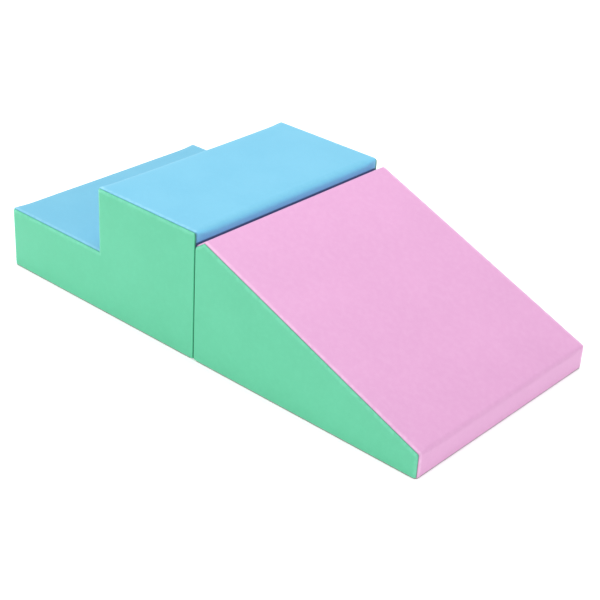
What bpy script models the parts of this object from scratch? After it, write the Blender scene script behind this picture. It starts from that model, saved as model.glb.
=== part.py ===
"""Toddler climb-and-slide set of two soft-play blocks, for Blender 4.5.

A two-step stair block and a wedge ramp stand end to end on the floor.  Each
block is a laminated foam core with a sponge pad where feet and hands land,
inside a sewn cover with a zip set into its underside.  Hook-and-loop strips on
the two facing ends hold the blocks together.

Units are metres.  X runs from the stair's front riser to the ramp's tip, Y
runs across the slide, and Z is up from the floor.
"""

import math

import bmesh
import bpy
from mathutils import Matrix, Vector

# Whole set
BLOCK_WIDTH = 0.600
BLOCK_GAP = 0.0036
CLEARANCE = 0.0003
ARC_STEP = math.radians(15.0)

# Stair block
STAIR_LENGTH = 0.610
STAIR_HEIGHT = 0.305
STEP_HEIGHT = 0.149
STEP_DEPTH = 0.307
NOSING_RADIUS = 0.010
STAIR_BACK_RADIUS = 0.016

# Ramp block.  Its top is blunted: a short face rises from the shoulder, at the top
# of the back face, to the crest, where the slope starts.
RAMP_LENGTH = 0.6064
RAMP_SHOULDER_HEIGHT = 0.277
RAMP_CREST_SETBACK = 0.022
RAMP_CREST_HEIGHT = 0.2917
RAMP_TIP_HEIGHT = 0.058
SHOULDER_RADIUS = 0.005
CREST_RADIUS = 0.008
TIP_RADIUS = 0.008

# Layers of each block, from the outside in
COVER = 0.0012
PAD = 0.015
BASE_SHEET = 0.008
PLANK_COUNT = 4

# Zip in the underside.  Heights are above the floor.
ZIP_CHANNEL_WIDTH = 0.032
ZIP_INSET = 0.042
END_TAB_LENGTH = 0.022
TAPE_OVERRUN = 0.022
TAPE_BOTTOM = 0.0070
TAPE_THICKNESS = 0.0005
COIL_BOTTOM = 0.0053
COIL_HEIGHT = 0.0014
COIL_WIDTH = 0.0026
COIL_GAP = 0.0014
STOP_LENGTH = 0.003
STOP_WALL = 0.0005

# Zip slider and its pull tab
SLIDER_LENGTH = 0.011
SLIDER_WIDTH = 0.0092
SLIDER_LOW_PLATE = (0.0040, 0.0050)
SLIDER_HIGH_PLATE = (0.0078, 0.0088)
SLIDER_POST_WIDTH = 0.0008
SLIDER_FLANGE = 0.0008
LUG_GAP = 0.0044
LUG_WALL = 0.0010
LUG_RADIUS = 0.0012
PULL_AXIS_HEIGHT = 0.0022
PULL_PIN_RADIUS = 0.0005
PULL_EYE_RADIUS = 0.0014
PULL_HOLE_RADIUS = 0.0008
PULL_LENGTH = 0.024
PULL_WIDTH = 0.0066
PULL_THICKNESS = 0.0010

# Hook-and-loop strips between the blocks
STRIP_WIDTH = 0.050
STRIP_LOW = 0.040
STRIP_HIGH = 0.240
STRIP_THICKNESS = 0.0013
STRIP_OFFSET = 0.200

# Places that follow from the sizes above
HALF_WIDTH = BLOCK_WIDTH / 2.0
STAIR_FRONT = -STAIR_LENGTH
RISER_X = STAIR_FRONT + STEP_DEPTH
RAMP_BACK = BLOCK_GAP
RAMP_TIP = BLOCK_GAP + RAMP_LENGTH
SKIN_FLOOR = COVER + CLEARANCE
INNER = COVER + CLEARANCE
PLANK_FLOOR = SKIN_FLOOR + BASE_SHEET + CLEARANCE

COLOURS = {
    "green_leatherette": ((0.165, 0.640, 0.400), 0.48, 0.0),
    "blue_leatherette": ((0.235, 0.630, 0.880), 0.48, 0.0),
    "pink_leatherette": ((0.830, 0.420, 0.690), 0.48, 0.0),
    "core_foam": ((0.840, 0.850, 0.840), 0.85, 0.0),
    "pad_sponge": ((0.820, 0.780, 0.560), 0.90, 0.0),
    "base_fabric": ((0.105, 0.100, 0.095), 0.80, 0.0),
    "zip_tape": ((0.050, 0.052, 0.055), 0.85, 0.0),
    "zip_coil": ((0.040, 0.042, 0.045), 0.40, 0.0),
    "zip_metal": ((0.560, 0.560, 0.570), 0.32, 1.0),
    "hook_tape": ((0.720, 0.730, 0.740), 0.75, 0.0),
    "loop_tape": ((0.760, 0.760, 0.770), 0.95, 0.0),
}


# Materials and scene


def clear_scene():
    for obj in list(bpy.data.objects):
        bpy.data.objects.remove(obj, do_unlink=True)


def make_material(name):
    colour, roughness, metallic = COLOURS[name]
    material = bpy.data.materials.new(name)
    material.use_nodes = True
    shader = material.node_tree.nodes["Principled BSDF"]
    shader.inputs["Base Color"].default_value = (*colour, 1.0)
    shader.inputs["Roughness"].default_value = roughness
    shader.inputs["Metallic"].default_value = metallic
    return material


def finish_mesh(name, shape, finish, smooth=False):
    """Turn a bmesh in world coordinates into a named object with one material."""
    bmesh.ops.recalc_face_normals(shape, faces=shape.faces)
    mesh = bpy.data.meshes.new(name)
    shape.to_mesh(mesh)
    shape.free()
    mesh.materials.append(make_material(finish))
    obj = bpy.data.objects.new(name, mesh)
    bpy.context.scene.collection.objects.link(obj)
    if smooth:
        mesh.shade_smooth()
        mesh.set_sharp_from_angle(angle=math.radians(40.0))
    return obj


# Outlines in the X-Z plane


def turn_side(before, corner, after):
    """Positive where the path turns left at the corner, negative where it turns right."""
    first = Vector(corner[:2]) - Vector(before[:2])
    second = Vector(after[:2]) - Vector(corner[:2])
    return first.cross(second)


def arc_at(before, corner, after):
    """Points that round one corner (x, z, radius) of an outline."""
    point = Vector(corner[:2])
    radius = corner[2]
    if radius <= 0.0:
        return [tuple(point)]
    back = (Vector(before[:2]) - point).normalized()
    onward = (Vector(after[:2]) - point).normalized()
    half = back.angle(onward) / 2.0
    centre = point + (back + onward).normalized() * (radius / math.sin(half))
    start = point + back * (radius / math.tan(half)) - centre
    sweep = math.pi - 2.0 * half
    if turn_side(before, corner, after) < 0.0:
        sweep = -sweep
    steps = max(2, round(abs(sweep) / ARC_STEP))
    points = []
    for step in range(steps + 1):
        spoke = Matrix.Rotation(sweep * step / steps, 2) @ start
        points.append(tuple(centre + spoke))
    return points


def rounded_path(corners):
    """An open run of points through the corners, with arcs where they have a radius."""
    points = [tuple(corners[0][:2])]
    for index in range(1, len(corners) - 1):
        points += arc_at(corners[index - 1], corners[index], corners[index + 1])
    points.append(tuple(corners[-1][:2]))
    return points


def inset_path(corners, distance):
    """The same open run moved to its right-hand side, which is inside the block."""
    normals = []
    for first, second in zip(corners, corners[1:]):
        along = (Vector(second[:2]) - Vector(first[:2])).normalized()
        normals.append(Vector((along.y, -along.x)))
    inner = []
    for index, corner in enumerate(corners):
        point = Vector(corner[:2])
        if index == 0:
            moved, radius = point + normals[0] * distance, 0.0
        elif index == len(corners) - 1:
            moved, radius = point + normals[-1] * distance, 0.0
        else:
            before, after = normals[index - 1], normals[index]
            moved = point + (before + after) * (distance / (1.0 + before.dot(after)))
            turn = turn_side(corners[index - 1], corner, corners[index + 1])
            change = -distance if turn < 0.0 else distance
            radius = max(corner[2] + change, 0.0) if corner[2] > 0.0 else 0.0
        inner.append((moved.x, moved.y, radius))
    return inner


def trim(outline, point, away):
    """Keep the part of a convex outline on the side that the direction away leaves."""
    kept = []
    for first, second in zip(outline, outline[1:] + outline[:1]):
        reach = [(Vector(end) - Vector(point)).dot(Vector(away)) for end in (first, second)]
        if reach[0] <= 0.0:
            kept.append(first)
        if (reach[0] < 0.0 < reach[1]) or (reach[1] < 0.0 < reach[0]):
            share = reach[0] / (reach[0] - reach[1])
            kept.append(tuple(Vector(first).lerp(Vector(second), share)))
    return kept


def band(outline, low, high):
    """The part of a convex outline between two heights."""
    below = trim(outline, (0.0, high), (0.0, 1.0))
    return trim(below, (0.0, low), (0.0, -1.0))


def stair_corners(base):
    return [
        (STAIR_FRONT, base, 0.0),
        (STAIR_FRONT, STEP_HEIGHT, NOSING_RADIUS),
        (RISER_X, STEP_HEIGHT, 0.0),
        (RISER_X, STAIR_HEIGHT, NOSING_RADIUS),
        (0.0, STAIR_HEIGHT, STAIR_BACK_RADIUS),
        (0.0, base, 0.0),
    ]


def ramp_corners(base):
    return [
        (RAMP_BACK, base, 0.0),
        (RAMP_BACK, RAMP_SHOULDER_HEIGHT, SHOULDER_RADIUS),
        (RAMP_BACK + RAMP_CREST_SETBACK, RAMP_CREST_HEIGHT, CREST_RADIUS),
        (RAMP_TIP, RAMP_TIP_HEIGHT, TIP_RADIUS),
        (RAMP_TIP, base, 0.0),
    ]


# Solids


def prism(name, outline, near, far, finish, smooth=False):
    """A solid with an X-Z outline, running across the slide from near to far in Y."""
    shape = bmesh.new()
    ends = []
    for y in (near, far):
        corners = [shape.verts.new((x, y, z)) for x, z in outline]
        ends.append(corners)
        shape.faces.new(corners)
    count = len(outline)
    for index in range(count):
        onward = (index + 1) % count
        sides = (ends[0][index], ends[0][onward], ends[1][onward], ends[1][index])
        shape.faces.new(sides)
    return finish_mesh(name, shape, finish, smooth)


def box(name, low, high, finish):
    outline = [(low[0], low[2]), (high[0], low[2]), (high[0], high[2]), (low[0], high[2])]
    return prism(name, outline, low[1], high[1], finish)


def long_section(name, section, start, end, finish):
    """A solid with a Y-Z section, running along X from start to end."""
    shape = bmesh.new()
    corners = [shape.verts.new((start, y, z)) for y, z in section]
    face = shape.faces.new(corners)
    grown = bmesh.ops.extrude_face_region(shape, geom=[face])
    moved = [item for item in grown["geom"] if isinstance(item, bmesh.types.BMVert)]
    bmesh.ops.translate(shape, verts=moved, vec=(end - start, 0.0, 0.0))
    return finish_mesh(name, shape, finish)


def cross_pin(name, x, z, radius, half_length, finish):
    """A round bar along Y."""
    shape = bmesh.new()
    placed = Matrix.Translation((x, 0.0, z)) @ Matrix.Rotation(math.pi / 2.0, 4, "X")
    bmesh.ops.create_cone(
        shape, cap_ends=True, segments=20, radius1=radius, radius2=radius,
        depth=2.0 * half_length, matrix=placed)
    return finish_mesh(name, shape, finish, smooth=True)


def combine(target, tool, operation):
    """Join a helper solid to the target, or cut it away, and keep the helper out of sight."""
    modifier = target.modifiers.new(tool.name, "BOOLEAN")
    modifier.object = tool
    modifier.operation = operation
    modifier.solver = "EXACT"
    tool.hide_render = True
    tool.display_type = "WIRE"


# Covers


def cover_strip(name, corners, finish):
    """A band of cover fabric that wraps over the block between its two side panels."""
    outer = rounded_path(corners)
    inner = rounded_path(inset_path(corners, COVER))
    reach = HALF_WIDTH - COVER - CLEARANCE
    return prism(name, outer + inner[::-1], -reach, reach, finish, smooth=True)


def side_panels(prefix, corners):
    """The two flat green sides, each cut to the block's whole outline."""
    outline = rounded_path(corners)
    panels = []
    for side, label in ((-1.0, "near"), (1.0, "far")):
        faces = sorted((side * HALF_WIDTH, side * (HALF_WIDTH - COVER)))
        name = f"{prefix}_side_panel_{label}"
        panels.append(prism(name, outline, faces[0], faces[1], "green_leatherette"))
    return panels


def bottom_panels(prefix, start, end):
    """Anti-slip base fabric on each side of the zip, turned up into the zip channel."""
    half = ZIP_CHANNEL_WIDTH / 2.0
    parts = []
    for side, label in ((-1.0, "near"), (1.0, "far")):
        plate_y = sorted((side * half, side * HALF_WIDTH))
        lip_y = sorted((side * half, side * (half + COVER)))
        plate = box(
            f"{prefix}_bottom_panel_{label}", (start, plate_y[0], 0.0), (end, plate_y[1], COVER),
            "base_fabric")
        lip = box(
            f"{prefix}_bottom_lip_{label}", (start + INNER, lip_y[0], COVER / 2.0),
            (end - INNER, lip_y[1], TAPE_BOTTOM - CLEARANCE), "base_fabric")
        combine(plate, lip, "UNION")
        parts += [plate, lip]
    return parts


# Foam


def base_sheets(prefix, start, end):
    """Thin foam sheets under the planks, leaving the zip channel open between them."""
    inner = ZIP_CHANNEL_WIDTH / 2.0 + INNER
    outer = HALF_WIDTH - INNER
    low, high = SKIN_FLOOR, SKIN_FLOOR + BASE_SHEET
    near = ((start + INNER, -outer, low), (end - INNER, -inner, high))
    far = ((start + INNER, inner, low), (end - INNER, outer, high))
    return [
        box(f"{prefix}_base_sheet_near", *near, "core_foam"),
        box(f"{prefix}_base_sheet_far", *far, "core_foam"),
    ]


def stair_foam():
    """Two full-length planks, two half-length planks and the pads of both treads."""
    reach = HALF_WIDTH - INNER
    front, riser, back = STAIR_FRONT + INNER, RISER_X + INNER, -INNER
    step_pad_floor = STEP_HEIGHT - INNER - PAD
    top_pad_floor = STAIR_HEIGHT - INNER - PAD
    names = ("bottom", "lower", "upper", "top")
    lower_rise = (step_pad_floor - PLANK_FLOOR) / 2.0
    upper_rise = (top_pad_floor - step_pad_floor) / 2.0
    starts = (front, front, riser, riser)
    rises = (lower_rise, lower_rise, upper_rise, upper_rise)
    parts = []
    floor = PLANK_FLOOR
    for label, start, rise in zip(names, starts, rises):
        low, high = (start, -reach, floor), (back, reach, floor + rise - CLEARANCE)
        parts.append(box(f"stair_plank_{label}", low, high, "core_foam"))
        floor += rise
    pad_radius = NOSING_RADIUS - INNER
    back_radius = STAIR_BACK_RADIUS - INNER
    step_pad = rounded_path([
        (front, step_pad_floor, 0.0), (front, STEP_HEIGHT - INNER, pad_radius),
        (RISER_X - CLEARANCE, STEP_HEIGHT - INNER, 0.0),
        (RISER_X - CLEARANCE, step_pad_floor, 0.0),
    ])
    top_pad = rounded_path([
        (riser, top_pad_floor, 0.0), (riser, STAIR_HEIGHT - INNER, pad_radius),
        (back, STAIR_HEIGHT - INNER, back_radius), (back, top_pad_floor, 0.0),
    ])
    parts.append(prism("stair_lower_tread_pad", step_pad, -reach, reach, "pad_sponge"))
    parts.append(prism("stair_upper_tread_pad", top_pad, -reach, reach, "pad_sponge"))
    return parts


def ramp_foam():
    """Planks cut to the slope, under one sponge pad that covers the whole slope."""
    reach = HALF_WIDTH - INNER
    corners = inset_path(ramp_corners(PLANK_FLOOR), INNER)
    region = rounded_path(corners)
    slope_start, slope_end = Vector(corners[2][:2]), Vector(corners[3][:2])
    slope = (slope_end - slope_start).normalized()
    outward = Vector((-slope.y, slope.x))
    pad_line = slope_start - outward * PAD
    core = trim(region, tuple(pad_line - outward * CLEARANCE), tuple(outward))
    pad = trim(region, tuple(pad_line), tuple(-outward))
    crest = max(z for x, z in core)
    rise = (crest - PLANK_FLOOR) / PLANK_COUNT
    parts = []
    for index, label in enumerate(("bottom", "lower", "upper", "top")):
        low = PLANK_FLOOR + rise * index
        plank = band(core, low, low + rise - CLEARANCE)
        parts.append(prism(f"ramp_plank_{label}", plank, -reach, reach, "core_foam"))
    parts.append(prism("ramp_slope_pad", pad, -reach, reach, "pad_sponge"))
    return parts


# Zip


def zip_track(prefix, start, end, opens):
    """Two tapes, two coils, the end tabs and the metal stops of one zip."""
    half = ZIP_CHANNEL_WIDTH / 2.0
    tape_start, tape_end = start + ZIP_INSET - TAPE_OVERRUN, end - ZIP_INSET + TAPE_OVERRUN
    coil_start, coil_end = start + ZIP_INSET, end - ZIP_INSET
    coil_inner = COIL_GAP / 2.0
    coil_outer = coil_inner + COIL_WIDTH
    parts = []
    for side, label in ((-1.0, "near"), (1.0, "far")):
        tape_y = sorted((side * coil_inner, side * (half + COVER)))
        tape_low = (tape_start, tape_y[0], TAPE_BOTTOM)
        tape_high = (tape_end, tape_y[1], TAPE_BOTTOM + TAPE_THICKNESS)
        parts.append(box(f"{prefix}_zip_tape_{label}", tape_low, tape_high, "zip_tape"))
        coil_y = sorted((side * coil_inner, side * coil_outer))
        coil_low = (coil_start, coil_y[0], COIL_BOTTOM)
        coil_high = (coil_end, coil_y[1], COIL_BOTTOM + COIL_HEIGHT)
        parts.append(box(f"{prefix}_zip_coil_{label}", coil_low, coil_high, "zip_coil"))
    tab_half = half - CLEARANCE
    for tab_start, label in ((start, "back"), (end - END_TAB_LENGTH, "front")):
        low = (tab_start, -tab_half, 0.0)
        high = (tab_start + END_TAB_LENGTH, tab_half, COVER)
        parts.append(box(f"{prefix}_zip_end_tab_{label}", low, high, "base_fabric"))
    return parts + zip_stops(prefix, coil_start, coil_end, coil_outer, opens)


def zip_stops(prefix, coil_start, coil_end, coil_outer, opens):
    """One wide stop at the closed end, and a narrow one on each coil at the open end."""
    closed_end, open_end = (coil_start, coil_end) if opens > 0.0 else (coil_end, coil_start)
    low, high = COIL_BOTTOM, TAPE_BOTTOM - CLEARANCE
    closed_x = sorted((closed_end - opens * CLEARANCE, closed_end - opens * STOP_LENGTH))
    stops = [
        box(f"{prefix}_zip_stop_closed", (closed_x[0], -coil_outer, low),
            (closed_x[1], coil_outer, high), "zip_metal"),
    ]
    open_x = sorted((open_end + opens * CLEARANCE, open_end + opens * STOP_LENGTH))
    for side, label in ((-1.0, "near"), (1.0, "far")):
        y = sorted((side * coil_outer, side * STOP_WALL))
        name = f"{prefix}_zip_stop_open_{label}"
        stops.append(box(name, (open_x[0], y[0], low), (open_x[1], y[1], high), "zip_metal"))
    return stops


def zip_slider(prefix, centre):
    """Two plates joined by a thin post that runs between the coils, with lugs for the pull."""
    half = SLIDER_WIDTH / 2.0
    post = SLIDER_POST_WIDTH / 2.0
    low, top_of_low = SLIDER_LOW_PLATE
    high, top = SLIDER_HIGH_PLATE
    flange_top = TAPE_BOTTOM - CLEARANCE
    right = [
        (half, low), (half, flange_top), (half - SLIDER_FLANGE, flange_top),
        (half - SLIDER_FLANGE, top_of_low), (post, top_of_low), (post, high),
        (half, high), (half, top),
    ]
    left = [(-y, z) for y, z in reversed(right)]
    start, end = centre - SLIDER_LENGTH / 2.0, centre + SLIDER_LENGTH / 2.0
    slider = long_section(f"{prefix}_zip_slider", right + left, start, end, "zip_metal")
    lug_top = low + (top_of_low - low) / 2.0
    for side, label in ((-1.0, "near"), (1.0, "far")):
        y = sorted((side * LUG_GAP / 2.0, side * (LUG_GAP / 2.0 + LUG_WALL)))
        lug = box(
            f"{prefix}_lug_{label}",
            (centre - LUG_RADIUS, y[0], PULL_AXIS_HEIGHT - LUG_RADIUS),
            (centre + LUG_RADIUS, y[1], lug_top), "zip_metal")
        combine(slider, lug, "UNION")
    pin = cross_pin(
        f"{prefix}_pull_pin", centre, PULL_AXIS_HEIGHT, PULL_PIN_RADIUS,
        (LUG_GAP + LUG_WALL) / 2.0, "zip_metal")
    combine(slider, pin, "UNION")
    return slider


def zip_pull(prefix, centre, opens):
    """A flat tab on a round eye that turns on the slider's pin."""
    half_eye = LUG_GAP / 2.0 - CLEARANCE
    eye = cross_pin(
        f"{prefix}_zip_pull", centre, PULL_AXIS_HEIGHT, PULL_EYE_RADIUS, half_eye, "zip_metal")
    neck = PULL_EYE_RADIUS / 2.0 + PULL_HOLE_RADIUS / 2.0
    corner = PULL_WIDTH / 3.0
    reach = centre + opens * PULL_LENGTH
    shoulder = centre + opens * (LUG_RADIUS + PULL_EYE_RADIUS)
    throat = centre + opens * neck
    half_neck = half_eye - CLEARANCE
    side = [
        (throat, half_neck), (shoulder, half_neck), (shoulder + opens * corner, PULL_WIDTH / 2.0),
        (reach - opens * corner, PULL_WIDTH / 2.0), (reach, PULL_WIDTH / 2.0 - corner),
    ]
    outline = side + [(x, -y) for x, y in reversed(side)]
    shape = bmesh.new()
    low = PULL_AXIS_HEIGHT - PULL_THICKNESS / 2.0
    face = shape.faces.new([shape.verts.new((x, y, low)) for x, y in outline])
    grown = bmesh.ops.extrude_face_region(shape, geom=[face])
    moved = [item for item in grown["geom"] if isinstance(item, bmesh.types.BMVert)]
    bmesh.ops.translate(shape, verts=moved, vec=(0.0, 0.0, PULL_THICKNESS))
    blade = finish_mesh(f"{prefix}_pull_blade", shape, "zip_metal")
    combine(eye, blade, "UNION")
    hole = cross_pin(
        f"{prefix}_pull_hole", centre, PULL_AXIS_HEIGHT, PULL_HOLE_RADIUS, LUG_GAP, "zip_metal")
    combine(eye, hole, "DIFFERENCE")
    return eye


# Hook-and-loop strips


def grip_strips(prefix, face_x, finish):
    """Two upright strips sewn to a block's end face, clear of it towards the other block."""
    strips = []
    for side, label in ((-1.0, "near"), (1.0, "far")):
        y = side * STRIP_OFFSET
        low = (face_x, y - STRIP_WIDTH / 2.0, STRIP_LOW)
        high = (face_x + STRIP_THICKNESS, y + STRIP_WIDTH / 2.0, STRIP_HIGH)
        strips.append(box(f"{prefix}_strip_{label}", low, high, finish))
    return strips


# Assembly


def block_frame(name, x):
    """An empty that carries one block."""
    empty = bpy.data.objects.new(name, None)
    bpy.context.scene.collection.objects.link(empty)
    empty.location = (x, 0.0, 0.0)
    return empty


def hang_on(parent, parts, pivot=None):
    """Parent the parts to an empty and put each one's origin at the pivot, in world metres."""
    home = Vector(parent.location)
    origin = Vector(pivot) if pivot else home
    for part in parts:
        part.data.transform(Matrix.Translation(-origin))
        part.parent = parent
        part.location = origin - home


def add_slider(prefix, frame, centre, opens):
    """The slider and its pull, each with its origin on its own joint."""
    pivot = (centre, 0.0, PULL_AXIS_HEIGHT)
    for part in (zip_slider(prefix, centre), zip_pull(prefix, centre, opens)):
        tools = [modifier.object for modifier in part.modifiers]
        hang_on(frame, [part, *tools], pivot)


def build_stair():
    frame = block_frame("stair_block", 0.0)
    corners = stair_corners(SKIN_FLOOR)
    parts = side_panels("stair", corners)
    step_end = (RISER_X - CLEARANCE, STEP_HEIGHT, 0.0)
    parts.append(cover_strip("stair_front_strip", corners[:2] + [step_end], "blue_leatherette"))
    tuck = (RISER_X, STEP_HEIGHT - INNER - PAD, 0.0)
    parts.append(cover_strip("stair_back_strip", [tuck] + corners[3:], "blue_leatherette"))
    parts += bottom_panels("stair", STAIR_FRONT, 0.0)
    parts += base_sheets("stair", STAIR_FRONT, 0.0)
    parts += stair_foam()
    parts += zip_track("stair", STAIR_FRONT, 0.0, 1.0)
    parts += grip_strips("stair_hook", CLEARANCE, "hook_tape")
    hang_on(frame, parts)
    closed = STAIR_FRONT + ZIP_INSET + CLEARANCE + SLIDER_LENGTH / 2.0
    add_slider("stair", frame, closed, 1.0)


def build_ramp():
    frame = block_frame("ramp_block", RAMP_BACK)
    corners = ramp_corners(SKIN_FLOOR)
    parts = side_panels("ramp", corners)
    parts.append(cover_strip("ramp_slope_strip", corners, "pink_leatherette"))
    parts += bottom_panels("ramp", RAMP_BACK, RAMP_TIP)
    parts += base_sheets("ramp", RAMP_BACK, RAMP_TIP)
    parts += ramp_foam()
    parts += zip_track("ramp", RAMP_BACK, RAMP_TIP, -1.0)
    loop_face = RAMP_BACK - CLEARANCE - STRIP_THICKNESS
    parts += grip_strips("ramp_loop", loop_face, "loop_tape")
    hang_on(frame, parts)
    closed = RAMP_TIP - ZIP_INSET - CLEARANCE - SLIDER_LENGTH / 2.0
    add_slider("ramp", frame, closed, -1.0)


def main():
    clear_scene()
    build_stair()
    build_ramp()


main()
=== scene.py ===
"""Looks for the toddler climb-and-slide set: two leatherette soft-play blocks.

Each block wears a sewn cover: two green side panels that wrap part of the way
over the edges, and coloured strips between them.  The covers are built here as
panel meshes with seams, crown and puckers.  The underside, zips, hook-and-loop
strips and foam are built in the places that the frame gives them.
"""

import math

import bmesh
import bpy
from mathutils import Matrix, Vector, noise
from mathutils.geometry import delaunay_2d_cdt
from mathutils.kdtree import KDTree


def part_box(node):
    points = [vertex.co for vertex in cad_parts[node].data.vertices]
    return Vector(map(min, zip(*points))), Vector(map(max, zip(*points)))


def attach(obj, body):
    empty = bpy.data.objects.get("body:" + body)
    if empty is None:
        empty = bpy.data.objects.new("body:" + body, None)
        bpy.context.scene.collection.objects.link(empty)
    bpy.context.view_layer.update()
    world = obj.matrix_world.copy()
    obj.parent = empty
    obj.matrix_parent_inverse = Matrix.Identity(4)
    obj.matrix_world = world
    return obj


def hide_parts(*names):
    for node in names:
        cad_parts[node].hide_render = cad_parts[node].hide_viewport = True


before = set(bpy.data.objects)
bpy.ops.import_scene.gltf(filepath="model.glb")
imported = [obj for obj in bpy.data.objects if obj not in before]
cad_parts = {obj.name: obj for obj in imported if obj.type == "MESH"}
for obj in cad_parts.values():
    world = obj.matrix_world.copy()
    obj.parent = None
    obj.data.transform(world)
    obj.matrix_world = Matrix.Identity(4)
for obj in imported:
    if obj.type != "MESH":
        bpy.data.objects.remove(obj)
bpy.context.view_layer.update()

MM = 0.001

# Sizes that the frame gives
STAIR_LOW, STAIR_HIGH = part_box("stair_side_panel_near")
RAMP_LOW, RAMP_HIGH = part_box("ramp_side_panel_near")
HALF_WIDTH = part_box("stair_side_panel_far")[1].y
STAIR_FRONT = STAIR_LOW.x
STAIR_BACK = STAIR_HIGH.x
STAIR_HEIGHT = STAIR_HIGH.z
STEP_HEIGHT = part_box("stair_front_strip")[1].z
RISER_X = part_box("stair_back_strip")[0].x
RAMP_BACK = RAMP_LOW.x
RAMP_TIP = RAMP_HIGH.x

# The ramp's outline: the shoulder, the crest where the slope starts, and the tip.  The cover
# is drawn tight over the shoulder, which sits 1.5 mm lower than the CAD's.
SHOULDER_HEIGHT = 275.5 * MM
CREST_SETBACK = 22 * MM
CREST_HEIGHT = 291.7 * MM
RAMP_TIP_HEIGHT = 58 * MM

# Rounding of the outlines' corners: halfway across the block, and at its sewn sides
NOSING = (11 * MM, 4 * MM)
STAIR_TOP = (17 * MM, 6 * MM)
SHOULDER = (5 * MM, 3 * MM)
CREST = (9 * MM, 4 * MM)
TIP = (14 * MM, 6 * MM)
FOOT = (2.5 * MM, 2.5 * MM)
CREASE = (1.5 * MM, 1.5 * MM)
SHARP = (0.0, 0.0)
CORNER_EASE = 28 * MM
LEAST_RADIUS = 1.2 * MM

# The sewn edges: each cover rounds over the edge, and the seam sits part of the way round
EDGE_ROUND = 10 * MM
END_ROUND = 2.5 * MM
SEAM_ANGLE = math.radians(35.0)
SEAM_DEPTH = 1.3 * MM
SEAM_WIDTH = 0.9 * MM
FOOT_HEIGHT = 2.2 * MM
FOOT_RADIUS = FOOT[0]
FOOT_TUCK = 9 * MM
FOOT_EASE = 12 * MM
CREASE_DEPTH = 6 * MM
COVER = 1.1 * MM

# Fineness of the cover meshes
STEP = 4 * MM
ARC_POINTS = 9
FIRST_ROW = 0.35 * MM
ROW_GROWTH = 1.25
RIM_ROW = 1.6 * MM
BORDER = 17 * MM
LATTICE = 11 * MM

# Softness of the covers
CROWN = 1.5 * MM
CROWN_REACH = 55 * MM
LIP = 0.25 * MM
LIP_AT = 3.0 * MM
LIP_WIDTH = 1.6 * MM
PUCKER = 0.32 * MM
PUCKER_REACH = 13 * MM
SWELL = 0.55 * MM
SWELL_REACH = 30 * MM
# Reach of the painted highlight on the tread nosings
NOSING_HIGHLIGHT_REACH = 14 * MM

# The cloth solver's run on each cover
DRAW_IN = 3 * MM
SIM_CELL = 10 * MM
SIM_HOLD = 24 * MM
SIM_PRESSURE = 4.0
SIM_FRAMES = 20
SIM_SHARE = 0.26
SIM_BLEND = 12 * MM
SIM_NEIGHBOURS = 6
SWELL_LIMIT = 3.0 * MM

# The end faces swell towards each other around the hook and loop strips
GRIP_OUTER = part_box("stair_hook_strip_far")[1].y + 3 * MM
GRIP_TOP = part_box("stair_hook_strip_far")[1].z + 3 * MM
GRIP_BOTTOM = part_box("stair_hook_strip_far")[0].z - 3 * MM
NESTLE = 1.35 * MM
NESTLE_EASE = 18 * MM
END_ZONE = 12 * MM
# Top of the painted shadow line on the stair's back face, where the ramp's top meets it
CREVICE_SHADOW_TOP = 279.5 * MM

# The underside: how far the base fabric stays in from the edges, half the zip channel's
# width, and the height of the pin that the pull tab turns on
BASE_INSET = 3.2 * MM
CHANNEL = 17.2 * MM
PIN_HEIGHT = 2.2 * MM

SIDES = ((-1.0, "near"), (1.0, "far"))
DOWN = Vector((0.0, 0.0, -1.0))


# Outlines in the X-Z plane: corners as (x, z, (radius halfway across, radius at the sides)),
# and how far the cover's edge rounding reaches down each side.  None marks the foot.
STAIR_OUTLINE = [
    (STAIR_FRONT, FOOT_HEIGHT, FOOT),
    (STAIR_FRONT, STEP_HEIGHT, NOSING),
    (RISER_X, STEP_HEIGHT, SHARP),
    (RISER_X, STAIR_HEIGHT, NOSING),
    (STAIR_BACK, STAIR_HEIGHT, STAIR_TOP),
    (STAIR_BACK, FOOT_HEIGHT, FOOT),
]
STAIR_ROUNDS = [EDGE_ROUND, EDGE_ROUND, EDGE_ROUND, EDGE_ROUND, END_ROUND, None]
RAMP_OUTLINE = [
    (RAMP_BACK, FOOT_HEIGHT, FOOT),
    (RAMP_BACK, SHOULDER_HEIGHT, SHOULDER),
    (RAMP_BACK + CREST_SETBACK, CREST_HEIGHT, CREST),
    (RAMP_TIP, RAMP_TIP_HEIGHT, TIP),
    (RAMP_TIP, FOOT_HEIGHT, FOOT),
]
RAMP_ROUNDS = [END_ROUND, EDGE_ROUND, EDGE_ROUND, EDGE_ROUND, None]
STAIR_FRONT_RUN = [
    (STAIR_FRONT + FOOT_TUCK, FOOT_HEIGHT, SHARP),
    *STAIR_OUTLINE[:2],
    (RISER_X, STEP_HEIGHT, CREASE),
    (RISER_X, STEP_HEIGHT - CREASE_DEPTH, SHARP),
]
STAIR_FRONT_ROUNDS = [0.0, EDGE_ROUND, EDGE_ROUND, -EDGE_ROUND]
STAIR_BACK_RUN = [
    (RISER_X, STEP_HEIGHT - CREASE_DEPTH, SHARP),
    *STAIR_OUTLINE[3:],
    (STAIR_BACK - FOOT_TUCK, FOOT_HEIGHT, SHARP),
]
STAIR_BACK_ROUNDS = [EDGE_ROUND, EDGE_ROUND, END_ROUND, 0.0]
RAMP_RUN = [
    (RAMP_BACK + FOOT_TUCK, FOOT_HEIGHT, SHARP),
    *RAMP_OUTLINE,
    (RAMP_TIP - FOOT_TUCK, FOOT_HEIGHT, SHARP),
]
RAMP_RUN_ROUNDS = [0.0, END_ROUND, EDGE_ROUND, EDGE_ROUND, EDGE_ROUND, 0.0]
BLOCKS = (("stair", STAIR_OUTLINE, STAIR_ROUNDS), ("ramp", RAMP_OUTLINE, RAMP_ROUNDS))


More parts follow.
